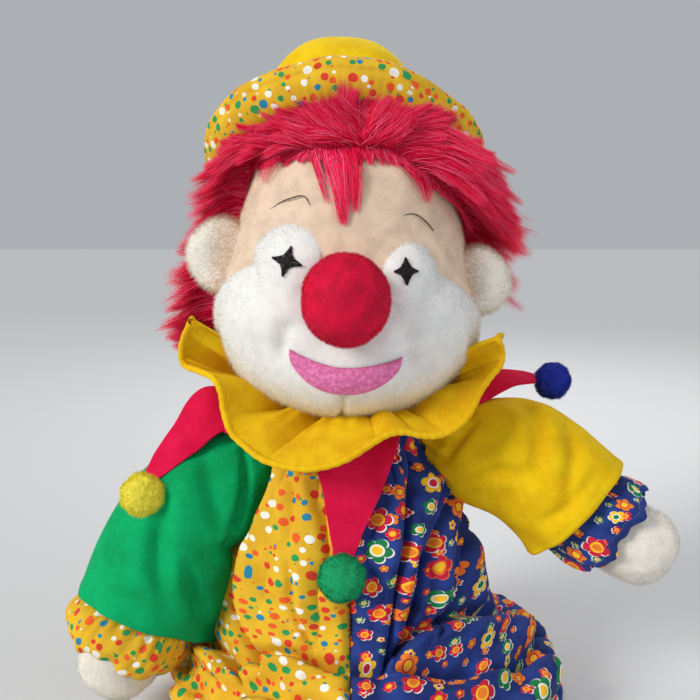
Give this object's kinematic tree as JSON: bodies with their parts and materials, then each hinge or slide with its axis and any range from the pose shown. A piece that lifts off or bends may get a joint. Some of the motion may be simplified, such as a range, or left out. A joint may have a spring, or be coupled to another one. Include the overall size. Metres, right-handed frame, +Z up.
{
  "type": "hand puppet",
  "caption": "Plush clown hand puppet with a stuffed head on a finger tube, brimmed hat, ruffled collar with pompom points, padded arms and an open-hemmed gown.",
  "frame": {"origin": "middle of the gown's open hem, on the surface the puppet stands on", "axes": "+Z up, the face looks along -Y, +X is the puppet's own left"},
  "size_m": [0.4024, 0.276, 0.4447],
  "materials": {
    "stuffing": "loose white polyester fibre",
    "flesh_plush": "short cream-pink plush pile",
    "white_plush": "short white plush pile",
    "embroidery": "dark satin-stitch thread",
    "red_plush": "short deep red plush pile",
    "pink_felt": "pink short-pile appliqué",
    "cream_plush": "short cream plush pile",
    "red_fur": "long red faux fur",
    "yellow_fleece": "yellow brushed jersey",
    "dotted_cotton": "yellow cotton printed with coloured dots",
    "flowered_cotton": "blue cotton printed with five-petalled flowers",
    "green_fleece": "green brushed jersey",
    "red_felt": "red felt",
    "green_wool": "green wool pompom",
    "yellow_wool": "yellow wool pompom",
    "blue_wool": "blue wool pompom",
    "orange_wool": "orange wool pompom",
    "elastic": "white braided elastic",
    "tape": "cotton seam tape"
  },
  "bodies": {
    "gown": {"gown_front_right": "dotted_cotton", "gown_front_left": "flowered_cotton", "gown_back_right": "dotted_cotton", "gown_back_left": "flowered_cotton", "ruffle": "yellow_fleece"},
    "neck_turn": {"neck_band": "red_felt"},
    "neck_tilt": {"neck_lining": "yellow_fleece"},
    "head": {"head_stuffing": "stuffing", "forehead_panel": "flesh_plush", "muzzle_panel": "white_plush", "back_head_panel": "flesh_plush", "right_eye_patch": "white_plush", "left_eye_patch": "white_plush", "right_eye_star": "embroidery", "left_eye_star": "embroidery", "right_brow": "embroidery", "left_brow": "embroidery", "nose": "red_plush", "mouth": "pink_felt", "right_ear": "cream_plush", "left_ear": "cream_plush", "hair_fringe": "red_fur", "hair_right": "red_fur", "hair_left": "red_fur", "hair_back": "red_fur", "hat_crown": "yellow_fleece", "hat_crown_stuffing": "stuffing", "hat_brim": "dotted_cotton", "hat_brim_padding": "stuffing", "finger_tube": "yellow_fleece"},
    "front_point": {"front_point": "red_felt", "front_pompom": "green_wool"},
    "back_point": {"back_point": "red_felt", "back_pompom": "orange_wool"},
    "right_shoulder": {"right_armhole_tape": "tape"},
    "right_arm": {"right_sleeve": "green_fleece", "right_arm_stuffing": "stuffing", "right_cuff": "dotted_cotton", "right_cuff_elastic": "elastic"},
    "right_hand": {"right_mitt": "cream_plush", "right_mitt_stuffing": "stuffing"},
    "right_point": {"right_point": "red_felt", "right_pompom": "yellow_wool"},
    "left_shoulder": {"left_armhole_tape": "tape"},
    "left_arm": {"left_sleeve": "yellow_fleece", "left_arm_stuffing": "stuffing", "left_cuff": "flowered_cotton", "left_cuff_elastic": "elastic"},
    "left_hand": {"left_mitt": "cream_plush", "left_mitt_stuffing": "stuffing"},
    "left_point": {"left_point": "red_felt", "left_pompom": "blue_wool"}
  },
  "joints": [
    {"name": "head_turn", "type": "hinge", "parent": "gown", "child": "neck_turn", "pos_m": [0, 0, 0.2], "axis": [0, 0, 1], "range_deg": [-25, 25]},
    {"name": "head_tilt", "type": "hinge", "parent": "neck_turn", "child": "neck_tilt", "pos_m": [0, 0, 0.2], "axis": [0, 1, 0], "range_deg": [-7, 7]},
    {"name": "head_nod", "type": "hinge", "parent": "neck_tilt", "child": "head", "pos_m": [0, 0, 0.2], "axis": [1, 0, 0], "range_deg": [-7, 7]},
    {"name": "right_arm_swing", "type": "hinge", "parent": "gown", "child": "right_shoulder", "pos_m": [-0.061, -0.012, 0.1785], "axis": [0, 0, 1], "range_deg": [-10, 3]},
    {"name": "right_arm_raise", "type": "hinge", "parent": "right_shoulder", "child": "right_arm", "pos_m": [-0.061, -0.012, 0.1785], "axis": [-0.342, 0.9397, 0], "range_deg": [0, 13]},
    {"name": "right_wrist_bend", "type": "hinge", "parent": "right_arm", "child": "right_hand", "pos_m": [-0.15125, -0.04485, 0.05557], "axis": [-0.342, 0.9397, 0], "range_deg": [-18, 18]},
    {"name": "left_arm_swing", "type": "hinge", "parent": "gown", "child": "left_shoulder", "pos_m": [0.061, -0.012, 0.1785], "axis": [0, 0, -1], "range_deg": [-10, 3]},
    {"name": "left_arm_raise", "type": "hinge", "parent": "left_shoulder", "child": "left_arm", "pos_m": [0.061, -0.012, 0.1785], "axis": [-0.1908, -0.9816, 0], "range_deg": [-26, 0]},
    {"name": "left_wrist_bend", "type": "hinge", "parent": "left_arm", "child": "left_hand", "pos_m": [0.17488, -0.03414, 0.1244], "axis": [-0.1908, -0.9816, 0], "range_deg": [-18, 18]},
    {"name": "front_point_flap", "type": "hinge", "parent": "gown", "child": "front_point", "pos_m": [-0.002, -0.062, 0.186], "axis": [-1, 0, 0], "range_deg": [0, 45]},
    {"name": "back_point_flap", "type": "hinge", "parent": "gown", "child": "back_point", "pos_m": [0, 0.062, 0.186], "axis": [1, 0, 0], "range_deg": [0, 45]},
    {"name": "right_point_flap", "type": "hinge", "parent": "right_arm", "child": "right_point", "pos_m": [-0.0822, -0.01971, 0.19105], "axis": [-0.342, 0.9397, 0], "range_deg": [0, 3]},
    {"name": "left_point_flap", "type": "hinge", "parent": "left_arm", "child": "left_point", "pos_m": [0.08, 0.002, 0.2015], "axis": [-0.0523, -0.9986, 0], "range_deg": [-12, 0]}
  ]
}
